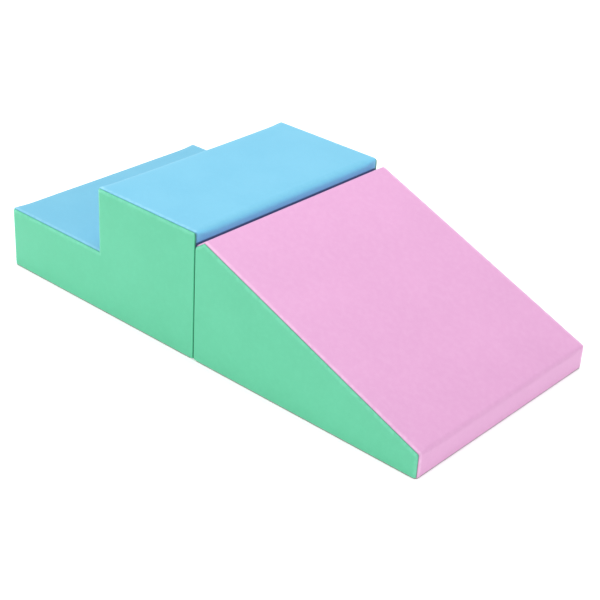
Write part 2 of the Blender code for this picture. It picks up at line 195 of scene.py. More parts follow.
def line_meet(a, a_along, b, b_along):
    """Where two lines in the plane cross; parallel lines give the second point."""
    across = a_along.cross(b_along)
    if abs(across) < 1e-9:
        return b.copy()
    return a + a_along * ((b - a).cross(b_along) / across)


def shrink(corners, insets, closed, seam_distance=0.0):
    """Move each edge to its right by its own inset; corners soften away from the seam."""
    count = len(corners)
    points = [Vector(corner[:2]) for corner in corners]
    edges = count if closed else count - 1
    along, moved = [], []
    for index in range(edges):
        direction = (points[(index + 1) % count] - points[index]).normalized()
        along.append(direction)
        moved.append(points[index] + Vector((direction.y, -direction.x)) * insets[index])
    softer = 1.0 - math.exp(-((seam_distance / CORNER_EASE) ** 2))
    result = []
    for index in range(count):
        middle, sewn = corners[index][2]
        radius = sewn + (middle - sewn) * softer
        if not closed and index == 0:
            place, radius = moved[0], 0.0
        elif not closed and index == count - 1:
            span = (points[-1] - points[-2]).length
            place, radius = moved[-1] + along[-1] * span, 0.0
        else:
            before, after = (index - 1) % edges, index % edges
            place = line_meet(moved[before], along[before], moved[after], along[after])
            turn = along[before].cross(along[after])
            inset = min(abs(insets[before]), abs(insets[after])) / 2.0
            radius += inset if turn > 0.0 else -inset
            radius = max(radius, LEAST_RADIUS)
        result.append((place.x, place.y, radius))
    return result


def corner_arc(before, corner, after):
    """Points around one rounded corner, always the same number of them."""
    point = Vector(corner[:2])
    radius = corner[2]
    back = (Vector(before[:2]) - point).normalized()
    onward = (Vector(after[:2]) - point).normalized()
    half = back.angle(onward) / 2.0
    sweep = math.copysign(math.pi - 2.0 * half, (-back).cross(onward))
    centre = point + (back + onward).normalized() * (radius / math.sin(half))
    start = point + back * (radius / math.tan(half)) - centre
    return [centre + Matrix.Rotation(sweep * n / ARC_POINTS, 2) @ start
            for n in range(ARC_POINTS + 1)]


def run_points(corners, counts, closed):
    """Points along an outline, with arcs at its corners and evenly cut straight runs."""
    count = len(corners)
    arcs = []
    for index, corner in enumerate(corners):
        if not closed and index in (0, count - 1):
            arcs.append([Vector(corner[:2])])
        else:
            arcs.append(corner_arc(corners[index - 1], corner, corners[(index + 1) % count]))
    points = []
    for index in range(count):
        points += arcs[index]
        if not closed and index == count - 1:
            break
        start, end = arcs[index][-1], arcs[(index + 1) % count][0]
        for step in range(1, counts[index]):
            points.append(start.lerp(end, step / counts[index]))
    return points


def run_counts(corners, closed):
    """How many pieces to cut each straight run into."""
    count = len(corners)
    edges = count if closed else count - 1
    counts = []
    for index in range(edges):
        length = (Vector(corners[(index + 1) % count][:2]) - Vector(corners[index][:2])).length
        counts.append(max(1, round(length / STEP)))
    return counts


# The section across a sewn edge


def groove(distance):
    """How deep the cover dips into the seam at a distance from it."""
    return SEAM_DEPTH * math.exp(-((distance / SEAM_WIDTH) ** 1.4))


def foot_inset(y_in):
    """Inset of a side panel's lower edge, which is rounded less than the others."""
    if y_in >= FOOT_RADIUS:
        return 0.0
    return FOOT_RADIUS - math.sqrt(FOOT_RADIUS ** 2 - (FOOT_RADIUS - y_in) ** 2)


def section(rounds, angle, depth, flat=0.0):
    """Edge insets and distance in from the side, at an angle round the edge from the top."""
    y_in = EDGE_ROUND * (1.0 - math.sin(angle)) + depth * math.sin(angle)
    insets = []
    for size in rounds:
        if size is None:
            insets.append(foot_inset(y_in) + flat)
        elif size == 0.0:
            insets.append(flat)
        else:
            insets.append(size * (1.0 - math.cos(angle)) + depth * math.cos(angle) + flat)
    return insets, y_in


# Cover softness


def settle(distance, reach):
    """0 at a seam, rising smoothly to 1 well away from it."""
    return 1.0 - math.exp(-max(distance, 0.0) / reach)


def relief(point, normal, distance, field):
    """How far the cover stands off its flat shape: seam lip, puckers, waves and swelling."""
    lip = LIP * math.exp(-(((distance - LIP_AT) / LIP_WIDTH) ** 2))
    gathers = noise.noise(point * 105.0) + 0.6 * noise.noise(point * 210.0)
    pucker = PUCKER * gathers * math.exp(-distance / PUCKER_REACH) * settle(distance, 1.2 * MM)
    swell = SWELL * noise.noise(point * 8.0 + Vector((3.1, 1.7, 5.3)))
    if field is None:
        crown = CROWN * settle(distance, CROWN_REACH)
    else:
        crown = swelling(field, point, normal) * settle(distance, SIM_BLEND)
    return lip + pucker + swell * settle(distance, SWELL_REACH) + crown


def flat_zone(point):
    """1 on the two end faces that press against each other, 0 elsewhere."""
    gap = min(abs(point.x - STAIR_BACK), abs(point.x - RAMP_BACK))
    return max(0.0, 1.0 - gap / END_ZONE)


def ease(share):
    """Smooth step from 0 to 1."""
    share = min(max(share, 0.0), 1.0)
    return share * share * (3.0 - 2.0 * share)


def nestle(point):
    """How far an end face swells towards the other block, all round the grip strips."""
    beside = ease((abs(point.y) - GRIP_OUTER) / NESTLE_EASE)
    above = ease((point.z - GRIP_TOP) / NESTLE_EASE)
    below = ease((GRIP_BOTTOM - point.z) / NESTLE_EASE)
    return NESTLE * max(beside, above, below)


def linked(name, data):
    """A new object in the scene."""
    made = bpy.data.objects.new(name, data)
    bpy.context.scene.collection.objects.link(made)
    return made


def add_bands(shape, rows, closed=False):
    """Add the faces between neighbouring rows of vertices."""
    made = []
    for first, second in zip(rows, rows[1:]):
        count = len(first)
        for index in range(count if closed else count - 1):
            onward = (index + 1) % count
            made.append(shape.faces.new(
                (first[index], first[onward], second[onward], second[index])))
    return made


def turn_out(shape, face, way):
    """Turn every face over, unless the given one faces up (way 1) or down (way -1)."""
    shape.normal_update()
    if face.normal.z * way < 0.0:
        bmesh.ops.reverse_faces(shape, faces=shape.faces)


def block_solid(name, corners):
    """A closed, plain copy of a block's outside, a little smaller than its cover."""
    middle = [DRAW_IN] * len(corners)
    outline = run_points(shrink(corners, middle, True, HALF_WIDTH), [1] * len(corners), True)
    shape = bmesh.new()
    reach = HALF_WIDTH - DRAW_IN
    near, far = ([shape.verts.new((x, y, z)) for x, z in outline] for y in (-reach, reach))
    add_bands(shape, (near, far), closed=True)
    shape.faces.new(near[::-1])
    shape.faces.new(far)
    bmesh.ops.triangulate(shape, faces=[face for face in shape.faces if len(face.verts) > 4])
    bmesh.ops.recalc_face_normals(shape, faces=shape.faces)
    mesh = bpy.data.meshes.new(name)
    shape.to_mesh(mesh)
    shape.free()
    return linked(name, mesh)


def seam_grip(point, corners):
    """1 along a block's edges, where the seams hold the cover, falling to 0 on its faces."""
    flat = [Vector(corner[:2]) for corner in corners]
    rim = edge_distance(Vector((point.x, point.z)), flat)
    side = HALF_WIDTH - abs(point.y)
    return 1.0 - ease((max(rim, side) - DRAW_IN - SIM_CELL) / SIM_HOLD)


def blow_up(name, corners):
    """Inflate a block's cover with the cloth solver; gives how far each of its points moved."""
    scene = bpy.context.scene
    solid = block_solid(name, corners)
    remesh = solid.modifiers.new("remesh", "REMESH")
    remesh.mode = "VOXEL"
    remesh.voxel_size = SIM_CELL
    bpy.context.view_layer.objects.active = solid
    with bpy.context.temp_override(object=solid, active_object=solid):
        bpy.ops.object.modifier_apply(modifier="remesh")
    held = solid.vertex_groups.new(name="held")
    for vert in solid.data.vertices:
        held.add([vert.index], seam_grip(vert.co, corners), "REPLACE")
    before = [vert.co.copy() for vert in solid.data.vertices]
    cloth = solid.modifiers.new("cloth", "CLOTH")
    settings = cloth.settings
    settings.quality = 6
    settings.mass = 0.6
    settings.tension_stiffness = 60.0
    settings.compression_stiffness = 60.0
    settings.shear_stiffness = 30.0
    settings.bending_stiffness = 6.0
    settings.use_pressure = True
    settings.uniform_pressure_force = SIM_PRESSURE
    settings.vertex_group_mass = "held"
    settings.effector_weights.gravity = 0.0
    cloth.collision_settings.use_collision = False
    cloth.point_cache.frame_start = 1
    cloth.point_cache.frame_end = SIM_FRAMES
    for step in range(1, SIM_FRAMES + 1):
        scene.frame_set(step)
    blown = solid.evaluated_get(bpy.context.evaluated_depsgraph_get())
    moves = [last.co - first for first, last in zip(before, blown.to_mesh().vertices)]
    blown.to_mesh_clear()
    scene.frame_set(1)
    bpy.data.objects.remove(solid)
    finder = KDTree(len(before))
    for index, point in enumerate(before):
        finder.insert(point, index)
    finder.balance()
    return finder, moves


def swelling(field, point, normal):
    """How far out the inflated cover stands at a point, averaged over its neighbours."""
    finder, moves = field
    total, weight = 0.0, 0.0
    for _, index, distance in finder.find_n(point, SIM_NEIGHBOURS):
        share = 1.0 / (distance + 2.0 * MM)
        total += moves[index].dot(normal) * share
        weight += share
    return min(max(total / weight * SIM_SHARE, -SWELL_LIMIT), SWELL_LIMIT)


def nosing_highlight(point):
    """1 on the front edges of the two treads, which are painted paler as a highlight, 0 away from
    them.
    """
    gap = min(math.hypot(point.x - STAIR_FRONT, point.z - STEP_HEIGHT),
              math.hypot(point.x - RISER_X, point.z - STAIR_HEIGHT))
    return math.exp(-((gap / NOSING_HIGHLIGHT_REACH) ** 2))


def soften(shape, seam_layer, field):
    """Push each vertex of a cover panel out along its normal by the cover's relief."""
    painted_light_layer = shape.verts.layers.float.new("painted_light_mask")
    shape.normal_update()
    moves = []
    for vert in shape.verts:
        height = relief(vert.co, vert.normal, vert[seam_layer], field)
        stair = vert.co.x < RAMP_BACK / 2.0
        pressed = flat_zone(vert.co)
        if (vert.normal.x if stair else -vert.normal.x) > 0.5:
            height *= 1.0 - pressed
        height *= ease((vert.co.z - FOOT_HEIGHT) / FOOT_EASE)
        reach = nestle(vert.co) * ease(pressed * 1.2) * (1.0 if stair else -1.0)
        # Painted light mask: 0 on the end faces where the blocks meet, for painted shade; 1
        # elsewhere; up to 2 on the tread nosings, for a painted highlight
        vert[painted_light_layer] = 1.0 - ease(pressed * 2.0 - 0.9) + nosing_highlight(vert.co)
        moves.append(vert.normal * height + Vector((reach, 0.0, 0.0)))
    for vert, move in zip(shape.verts, moves):
        vert.co += move


# Cover panels


def strip_rows():
    """Distances from a strip's seam to its rows, close together near the seam."""
    rows, gap, at = [], FIRST_ROW, 0.0
    arc = EDGE_ROUND * SEAM_ANGLE
    half = HALF_WIDTH - EDGE_ROUND + arc
    while at < half - gap:
        rows.append(at)
        at += gap
        gap = min(gap * ROW_GROWTH, LATTICE)
    return rows, half


def strip_section(rounds, distance):
    """Insets and distance in from the side for one row of a strip."""
    arc = EDGE_ROUND * SEAM_ANGLE
    angle = SEAM_ANGLE - min(distance, arc) / EDGE_ROUND
    insets, y_in = section(rounds, angle, groove(distance))
    return insets, y_in + max(distance - arc, 0.0)


def strip(corners, rounds, field):
    """A cover strip that follows an outline run and spans the block between its seams."""
    counts = run_counts(corners, closed=False)
    near, half = strip_rows()
    rows = [(-1.0, at) for at in near] + [(0.0, half)] + [(1.0, at) for at in near[::-1]]
    shape = bmesh.new()
    seam_layer = shape.verts.layers.float.new("seam")
    grid = []
    for side, distance in rows:
        insets, y_in = strip_section(rounds, distance)
        inner = shrink(corners, insets, False, distance)
        y = side * (HALF_WIDTH - y_in)
        line = []
        for x, z in run_points(inner, counts, closed=False):
            vert = shape.verts.new((x, y, z))
            vert[seam_layer] = distance
            line.append(vert)
        grid.append(line)
    faces = add_bands(shape, grid)
    turn_out(shape, max(faces, key=lambda face: face.calc_center_median().z), 1.0)
    soften(shape, seam_layer, field)
    return shape


def side_rings(rounds):
    """Rings of a side panel, from the seam over the edge: (insets, y in, seam distance)."""
    rings = []
    arc = EDGE_ROUND * (math.pi / 2.0 - SEAM_ANGLE)
    distance, gap = 0.0, FIRST_ROW
    while distance < arc - 0.3 * MM:
        angle = SEAM_ANGLE + distance / EDGE_ROUND
        rings.append((*section(rounds, angle, groove(distance)), distance))
        distance += gap
        gap = min(gap * ROW_GROWTH, RIM_ROW)
    flat, gap = 0.0, 2.5 * MM
    while flat < BORDER:
        insets = section(rounds, math.pi / 2.0, 0.0, flat)[0]
        rings.append((insets, 0.0, arc + flat))
        flat += gap
        gap *= 1.35
    return rings


def edge_distance(point, outline):
    """Distance from a point to a closed outline."""
    best = 1.0
    for first, second in zip(outline, outline[1:] + outline[:1]):
        run = second - first
        share = min(max((point - first).dot(run) / run.length_squared, 0.0), 1.0)
        best = min(best, (point - first - run * share).length)
    return best


def inside(point, outline):
    """Whether a point lies within a closed outline."""
    crossings = 0
    for first, second in zip(outline, outline[1:] + outline[:1]):
        if (first.y > point.y) != (second.y > point.y):
            x = first.x + (point.y - first.y) / (second.y - first.y) * (second.x - first.x)
            crossings += x > point.x
    return crossings % 2 == 1


def staggered(rows, line, pitch, row_pitch, shift):
    """Places in rows, each (on the row, of the row); every other row starts with a shift."""
    moved, across = False, rows[0]
    while across < rows[1]:
        along = line[0] + (shift if moved else 0.0)
        while along < line[1]:
            yield along, across
            along += pitch
        across += row_pitch
        moved = not moved


def lattice_points(outline):
    """Points of an even triangular net within an outline, clear of its border."""
    x, z = ([point[axis] for point in outline] for axis in (0, 1))
    rows, line = (min(z) + LATTICE / 2.0, max(z)), (min(x) + LATTICE, max(x))
    spots = staggered(rows, line, LATTICE, LATTICE * math.sqrt(3.0) / 2.0, -LATTICE / 2.0)
    points = [Vector(spot) for spot in spots]
    return [point for point in points
            if inside(point, outline) and edge_distance(point, outline) > LATTICE * 0.45]


def fill_middle(shape, seam_layer, ring, corners, y, base_distance):
    """Fill the flat middle of a side panel with an even net of triangles."""
    frame_line = [Vector(corner[:2]) for corner in corners]
    border = []
    for vert in ring:
        if not border or (vert.co - border[-1].co).length > 0.05 * MM:
            border.append(vert)
    outline = [Vector((vert.co.x, vert.co.z)) for vert in border]
    count = len(outline)
    links = [(n, (n + 1) % count) for n in range(count)]
    found = delaunay_2d_cdt(
        outline + lattice_points(frame_line), links, [list(range(count))], 1, 1e-6)
    placed, faces, origin = found[0], found[2], found[3]
    verts = []
    for index, point in enumerate(placed):
        source = origin[index][0] if origin[index] else -1
        if 0 <= source < count:
            verts.append(border[source])
            continue
        vert = shape.verts.new((point.x, y, point.y))
        vert[seam_layer] = base_distance + edge_distance(point, frame_line)
        verts.append(vert)
    for face in faces:
        triangle = [verts[index] for index in face]
        if len(set(triangle)) == 3 and shape.faces.get(triangle) is None:
            shape.faces.new(triangle)


def side_panel(corners, rounds, side, field):
    """A green side panel: flat middle, rounded edges, and a rim that turns into the seam."""
    counts = run_counts(corners, closed=True)
    shape = bmesh.new()
    seam_layer = shape.verts.layers.float.new("seam")
    loops = []
    for insets, y_in, distance in side_rings(rounds):
        shrunk = shrink(corners, insets, closed=True)
        loop = []
        for x, z in run_points(shrunk, counts, closed=True):
            vert = shape.verts.new((x, side * (HALF_WIDTH - y_in), z))
            vert[seam_layer] = distance
            loop.append(vert)
        loops.append(loop)
    add_bands(shape, loops, closed=True)
    fill_middle(shape, seam_layer, loops[-1], shrunk, side * HALF_WIDTH, distance)
    bmesh.ops.recalc_face_normals(shape, faces=shape.faces)
    shape.normal_update()
    flat = [face for face in shape.faces if abs(face.normal.y) > 0.9]
    if sum(face.normal.y * face.calc_area() for face in flat) * side < 0.0:
        bmesh.ops.reverse_faces(shape, faces=shape.faces)
    soften(shape, seam_layer, field)
    return shape


# Small shapes


def add_piece(name, made, look, body, slot_name, *nodes, smooth=False, thick=None, fill=None):
    """A new object from a bmesh or a (vertices, faces) pair, with its place in the frame.

    A piece with a thickness is a closed sheet, whose outer face is the built surface.
    """
    mesh = bpy.data.meshes.new(name)
    if isinstance(made, tuple):
        mesh.from_pydata(made[0], [], made[1])
        mesh.update()
        smooth = True
    else:
        made.to_mesh(mesh)
        made.free()
    if smooth:
        mesh.shade_smooth()
    mesh.materials.append(LOOKS[look])
    piece = linked(name, mesh)
    if thick is not None:
        sheet = piece.modifiers.new("thickness", "SOLIDIFY")
        sheet.thickness = thick
        sheet.offset = -1.0
        sheet.use_even_offset = False
    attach(piece, body)
    if nodes:
        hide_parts(*nodes)
    return piece


def disc(x, y, radius, sides=20):
    """Points anticlockwise round a circle."""
    spots = [2.0 * math.pi * side / sides for side in range(sides)]
    return [Vector((x + radius * math.cos(a), y + radius * math.sin(a))) for a in spots]


def add_rings(net, rings, looped=False):
    """Add rings of points to a (vertices, faces) pair, capped at both ends unless looped."""
    verts, faces = net
    base, sides, count = len(verts), len(rings[0]), len(rings)
    for ring in rings:
        verts.extend(ring)
    for ring in range(count if looped else count - 1):
        first, second = base + ring * sides, base + ((ring + 1) % count) * sides
        for side in range(sides):
            onward = (side + 1) % sides
            faces.append((first + side, first + onward, second + onward, second + side))
    if not looped:
        last = base + (count - 1) * sides
        faces.append(tuple(range(base, base + sides))[::-1])
        faces.append(tuple(range(last, last + sides)))


def add_tube(net, points, radius, sides=6, closed=False):
    """Add a round tube along a path."""
    count = len(points)
    normal, rings = None, []
    for index, point in enumerate(points):
        if closed:
            tangent = points[(index + 1) % count] - points[index - 1]
        else:
            tangent = points[min(index + 1, count - 1)] - points[max(index - 1, 0)]
        tangent.normalize()
        if normal is None:
            normal = tangent.orthogonal().normalized()
        normal = (normal - tangent * normal.dot(tangent)).normalized()
        across = tangent.cross(normal)
        rings.append([point + (normal * spot.x + across * spot.y) * radius
                      for spot in disc(0.0, 0.0, 1.0, sides)])
    add_rings(net, rings, closed)


def add_stitch(net, middle, along, up, length, radius):
    """Add one stitch: a short thread that dives into the cloth at both ends."""
    shape = ((-1.0, -1.6), (-0.72, 0.3), (0.72, 0.3), (1.0, -1.6))
    half = along * (length / 2.0)
    add_tube(net, [middle + half * reach + up * radius * rise for reach, rise in shape],
             radius, sides=5)


def stitch_spots(points, pitch):
    """Evenly spaced places along a path: (place, direction, number of the run)."""
    carried = pitch / 2.0
    for index, (first, second) in enumerate(zip(points, points[1:])):
        span = (second - first).length
        if span < 1e-7:
            continue
        along = (second - first) / span
        at = carried
        while at < span:
            yield first + along * at, along, index
            at += pitch
        carried = at - span


def add_sewing(name, look, prefix, slot_name, paths, up, pitch, length, radius):
    """A piece made of stitches, at an even pitch along paths of points."""
    net = ([], [])
    for path in paths:
        for place, along, _ in stitch_spots([Vector(point) for point in path], pitch):
            add_stitch(net, place, along, up, length, radius)
    add_piece(name, net, look, prefix, slot_name)


def rounded_rectangle(low, high, radius, steps=4):
    """Points anticlockwise around a rectangle with round corners."""
    points = []
    centres = (
        (high[0] - radius, high[1] - radius), (low[0] + radius, high[1] - radius),
        (low[0] + radius, low[1] + radius), (high[0] - radius, low[1] + radius),
    )
    for quarter, (x, y) in enumerate(centres):
        for step in range(steps + 1):
            angle = math.pi / 2.0 * (quarter + step / steps)
            points.append(Vector((x + radius * math.cos(angle), y + radius * math.sin(angle))))
    return points


def along_z(x, y, z):
    """Place a plate that lies flat."""
    return (x, y, z)


def along_y(x, z, y):
    """Place a plate whose outline is in X-Z."""
    return (x, y, z)


def along_x(y, z, x):
    """Place a plate whose outline is in Y-Z."""
    return (x, y, z)


def add_plate(shape, outline, low, high, bevel, place=along_z):
    """Add a plate with bevelled rims: an outline in two directions, thick along the third."""
    rings = []
    centre = sum(outline, Vector((0.0, 0.0))) / len(outline)
    for inset, level in ((bevel, low), (0.0, low + bevel), (0.0, high - bevel), (bevel, high)):
        ring = []
        for point in outline:
            away = point - centre
            shrunk = centre + away * max(0.0, 1.0 - inset / away.length)
            ring.append(shape.verts.new(place(shrunk.x, shrunk.y, level)))
        rings.append(ring)
    made = add_bands(shape, rings, closed=True)
    made.append(shape.faces.new(rings[0][::-1]))
    made.append(shape.faces.new(rings[-1]))
    bmesh.ops.recalc_face_normals(shape, faces=made)


def around(middle, half):
    """The span that reaches equally far to both sides of a middle."""
    return (middle - half, middle + half)


def add_bar(shape, first, second, radius, low, high, bevel, place=along_z):
    """Add a plate with round corners that fills two spans."""
    outline = rounded_rectangle((first[0], second[0]), (first[1], second[1]), radius)
    add_plate(shape, outline, low, high, bevel, place)


def both_sides(line):
    """Close a line of points into an outline, by its mirror image across the X axis."""
    return line + [Vector((point.x, -point.y)) for point in line[::-1]]


# Materials


def dimmed(colour, share):
    """A colour made darker, or lighter with a share above 1."""
    return tuple(channel * share for channel in colour)


def painted_shade_colour(colour):
    """A deeper, more saturated copy of a colour, painted as shade on the end faces where the blocks
    meet.
    """
    return tuple(channel * (0.94 + 0.28 * channel) for channel in colour)


class Look:
    """A material in the making, with short calls for the nodes that the looks use."""

    def __init__(self, name):
        self.material = bpy.data.materials.new(name)
        self.material.use_nodes = True
        self.tree = self.material.node_tree
        self.coords = self.add("TexCoord").outputs["Object"]

    def add(self, kind, sockets=()):
        """Add a node, with its sockets as fill_in takes them."""
        node = self.tree.nodes.new(f"ShaderNode{kind}")
        self.fill_in(node, sockets)
        return node

    def fill_in(self, node, sockets):
        """Link or set each of a node's sockets: (name or number, value) pairs."""
        for key, value in dict(sockets).items():
            socket = node.inputs[key]
            if isinstance(value, bpy.types.NodeSocket):
                self.tree.links.new(value, socket)
            elif socket.type == "RGBA":
                socket.default_value = (*value, 1.0)
            else:
                socket.default_value = value

    def attribute(self, name):
        node = self.add("Attribute")
        node.attribute_name = name
        return node.outputs["Fac"]

    def noise(self, scale, detail=2.0, roughness=0.5):
        sockets = {"Scale": scale, "Detail": detail, "Roughness": roughness}
        return self.add("TexNoise", {**sockets, "Vector": self.coords}).outputs["Fac"]

    def cells(self, scale, feature="F1"):
        node = self.add("TexVoronoi", {"Scale": scale, "Vector": self.coords})
        node.feature = feature
        return node.outputs["Distance"]

    def ribs(self, direction, pitch, coords):
        """Rounded ribs across an axis, one every pitch."""
        node = self.add("TexWave", {"Scale": math.pi / (10.0 * pitch), "Vector": coords})
        node.bands_direction = direction
        return node.outputs["Fac"]

    def spread(self, value, low, high, new_low=0.0, new_high=1.0):
        """Map a value smoothly from one range to another, held at the ends."""
        node = self.add("MapRange", enumerate((value, low, high, new_low, new_high)))
        node.interpolation_type = "SMOOTHSTEP"
        return node.outputs["Result"]

    def calculate(self, operation, first, second):
        node = self.add("Math", enumerate((first, second)))
        node.operation = operation
        return node.outputs["Value"]

    def blend(self, share, first, second):
        """Mix two colours."""
        node = self.add("Mix")
        node.data_type = "RGBA"
        self.fill_in(node, {0: share, 6: first, 7: second})
        return node.outputs[2]

    def bump(self, height, strength, distance, under=None):
        sockets = {"Height": height, "Strength": strength, "Distance": distance}
        if under is not None:
            sockets["Normal"] = under
        return self.add("Bump", sockets).outputs["Normal"]

    def finish(self, colour, roughness, normal=None, **constants):
        """Fill in the shader; the constants go by their socket's name, with _ for a space."""
        sockets = {name.replace("_", " "): value for name, value in constants.items()}
        sockets.update({"Base Color": colour, "Roughness": roughness})
        if normal is not None:
            sockets["Normal"] = normal
        self.fill_in(self.tree.nodes["Principled BSDF"], sockets)
        return self.material


def painted_crevice_shadow(look):
    """Painted shadow: 1 along the line where the ramp's top meets the stair's back face, 0
    elsewhere.
    """
    place = look.add("SeparateXYZ", {"Vector": look.coords})
    across, height = place.outputs["X"], place.outputs["Z"]
    top = look.spread(height, CREVICE_SHADOW_TOP, CREVICE_SHADOW_TOP + 2.5 * MM, 1.0, 0.0)
    foot = look.spread(height, CREVICE_SHADOW_TOP - 10 * MM, CREVICE_SHADOW_TOP - 4 * MM)
    line = look.calculate("MULTIPLY", top, foot)
    return look.calculate("MULTIPLY", line, look.spread(across, -3 * MM, -1 * MM, 0.0, 0.88))


def leatherette(name, colour, shade, pale_fleck_and_highlight, crevice_shadow=None):
    """Backed PU leather: pebble grain, faint mottling and paler flecks; dirt and painted shade in
    the seams, painted shade on the end faces where the blocks meet, and painted highlights on the
    edges and the tread nosings.
    """
    look = Look(name)
    creases = look.spread(look.cells(1150.0, "DISTANCE_TO_EDGE"), 0.0, 0.16)
    pebble = look.calculate("SUBTRACT", creases, look.cells(1150.0))
    normal = look.bump(look.noise(26.0, 2.0, 0.45), 0.12, 1.0 * MM)
    normal = look.bump(look.noise(240.0, 3.0, 0.55), 0.16, 0.25 * MM, normal)
    normal = look.bump(pebble, 0.20, 0.10 * MM, normal)

    # The painted light mask from the cover panels: 0 on the end faces where the blocks meet, 1
    # elsewhere, up to 2 on the tread nosings
    distance, painted_light_mask = look.attribute("seam"), look.attribute("painted_light_mask")
    flecks = look.noise(85.0, 3.0, 0.6)
    body = look.blend(look.spread(look.noise(7.0, 4.0, 0.6), 0.25, 0.75), shade, colour)
    # Painted shade: a deeper, more saturated colour on the end faces where the blocks meet
    body = look.blend(painted_light_mask, painted_shade_colour(colour), body)
    body = look.blend(look.spread(flecks, 0.35, 0.75, 0.0, 0.11), body, pale_fleck_and_highlight)
    body = look.blend(look.spread(creases, 0.0, 1.0, 0.14, 0.0), body, dimmed(colour, 0.7))
    # Painted highlight: a paler band from about 1 to 10 mm off each seam, on the rounded edges that
    # face the light, and off on the end faces where the blocks meet
    edge_highlight_ring = look.calculate("MULTIPLY", look.spread(distance, 0.8 * MM, 2.5 * MM),
                              look.spread(distance, 5.0 * MM, 11.0 * MM, 1.0, 0.0))
    edge_highlight_ring = look.calculate("MULTIPLY", edge_highlight_ring, painted_light_mask)
    rub = look.calculate("MULTIPLY", edge_highlight_ring, look.spread(flecks, 0.30, 0.65, 0.18, 0.48))
    body = look.blend(rub, body, pale_fleck_and_highlight)
    # Painted highlight on the tread nosings, where the painted light mask rises above 1
    body = look.blend(look.spread(painted_light_mask, 1.0, 2.0, 0.0, 0.28), body, pale_fleck_and_highlight)
    # Dirt and painted shade: darker within about 1.5 mm of the seams, and wider (6 mm) and darker
    # along the end faces where the blocks meet, as painted shade in the joint between them
    dust_and_shade_reach = look.spread(painted_light_mask, 0.0, 1.0, 6.0 * MM, 1.5 * MM)
    dust_and_shade = look.spread(look.calculate("DIVIDE", distance, dust_and_shade_reach), 0.05, 1.0, 1.0, 0.0)
    dust_and_shade = look.calculate("MULTIPLY", dust_and_shade, look.spread(painted_light_mask, 0.0, 1.0, 0.85, 0.34))
    body = look.blend(dust_and_shade, body, dimmed(colour, 0.40))
    # Painted shadow: a dark line on the stair's back face, just under the ramp's top, where the gap
    # between the blocks lies in shade
    if crevice_shadow is not None:
        body = look.blend(painted_crevice_shadow(look), body, crevice_shadow)

    gloss = look.spread(flecks, 0.3, 0.7, 0.46, 0.56)
    gloss = look.calculate("SUBTRACT", gloss, look.calculate("MULTIPLY", edge_highlight_ring, 0.05))
    return look.finish(body, gloss, normal, Specular_IOR_Level=0.42, Sheen_Weight=0.06,
                       Sheen_Roughness=0.45)


def woven(name, colour, pitch, relief_depth, roughness=0.85, directions="XY"):
    """Plain-woven cloth: crossing yarns, uneven yarn tone and a little fuzz."""
    look = Look(name)
    warp, weft = (look.ribs(direction, pitch, look.coords) for direction in directions)
    weave = look.calculate("MAXIMUM", warp, weft)
    normal = look.bump(weave, 0.7, relief_depth)
    normal = look.bump(look.noise(2200.0, 2.0), 0.35, relief_depth * 0.4, normal)
    yarn = look.spread(look.noise(320.0, 3.0, 0.7), 0.3, 0.7)
    body = look.blend(yarn, dimmed(colour, 0.78), dimmed(colour, 1.18))
    body = look.blend(look.spread(weave, 0.0, 0.7, 0.55, 0.0), body, dimmed(colour, 0.45))
    gloss = look.spread(yarn, 0.0, 1.0, roughness - 0.06, roughness + 0.06)
    return look.finish(body, gloss, normal, Sheen_Weight=0.15, Sheen_Roughness=0.6,
                       Specular_IOR_Level=0.3)


def foamed(name, colour, cell_size, depth):
    """Cut foam: open and closed cells of uneven size, and skiving marks."""
    look = Look(name)
    pores = look.cells(1.0 / cell_size)
    normal = look.bump(pores, 0.6, depth)
    normal = look.bump(look.noise(45.0, 3.0), 0.2, 0.8 * MM, normal)
    cloud = look.spread(look.noise(14.0, 4.0, 0.6), 0.3, 0.7)
    body = look.blend(cloud, dimmed(colour, 0.90), colour)
    body = look.blend(look.spread(pores, 0.1, 0.7, 0.35, 0.0), body, dimmed(colour, 0.6))
    gloss = look.spread(cloud, 0.0, 1.0, 0.82, 0.94)
    return look.finish(body, gloss, normal, Specular_IOR_Level=0.25)


def plated(name):
    """Nickel-plated zinc with fine casting grain, rub marks and dulled hollows."""
    look = Look(name)
    normal = look.bump(look.noise(1800.0, 4.0, 0.6), 0.25, 0.03 * MM)
    tone = look.spread(look.noise(420.0, 5.0, 0.7), 0.35, 0.65)
    body = look.blend(tone, (0.50, 0.50, 0.50), (0.66, 0.655, 0.64))
    return look.finish(body, look.spread(tone, 0.0, 1.0, 0.42, 0.24), normal, Metallic=1.0)


def moulded(name, colour, roughness):
    """Nylon or rubber: faint mould grain and uneven gloss."""
    look = Look(name)
    grain = look.noise(900.0, 3.0, 0.6)
    tone = look.spread(look.noise(130.0, 3.0), 0.3, 0.7)
    body = look.blend(tone, dimmed(colour, 0.85), dimmed(colour, 1.15))
    gloss = look.spread(grain, 0.3, 0.7, roughness - 0.06, roughness + 0.08)
    return look.finish(body, gloss, look.bump(grain, 0.3, 0.05 * MM))


def twisted(name, colour):
    """Sewing thread: fine diagonal twist and a soft sheen."""
    look = Look(name)
    turned = look.add("Mapping", {"Rotation": (0.6, 0.5, 0.8), "Vector": look.coords})
    twist = look.ribs("X", 0.3 * MM, turned.outputs["Vector"])
    tone = look.spread(look.noise(300.0), 0.3, 0.7)
    body = look.blend(tone, dimmed(colour, 0.85), colour)
    body = look.blend(look.spread(twist, 0.0, 0.6, 0.4, 0.0), body, dimmed(colour, 0.6))
    gloss = look.spread(tone, 0.0, 1.0, 0.50, 0.62)
    return look.finish(body, gloss, look.bump(twist, 0.6, 0.05 * MM), Sheen_Weight=0.2)


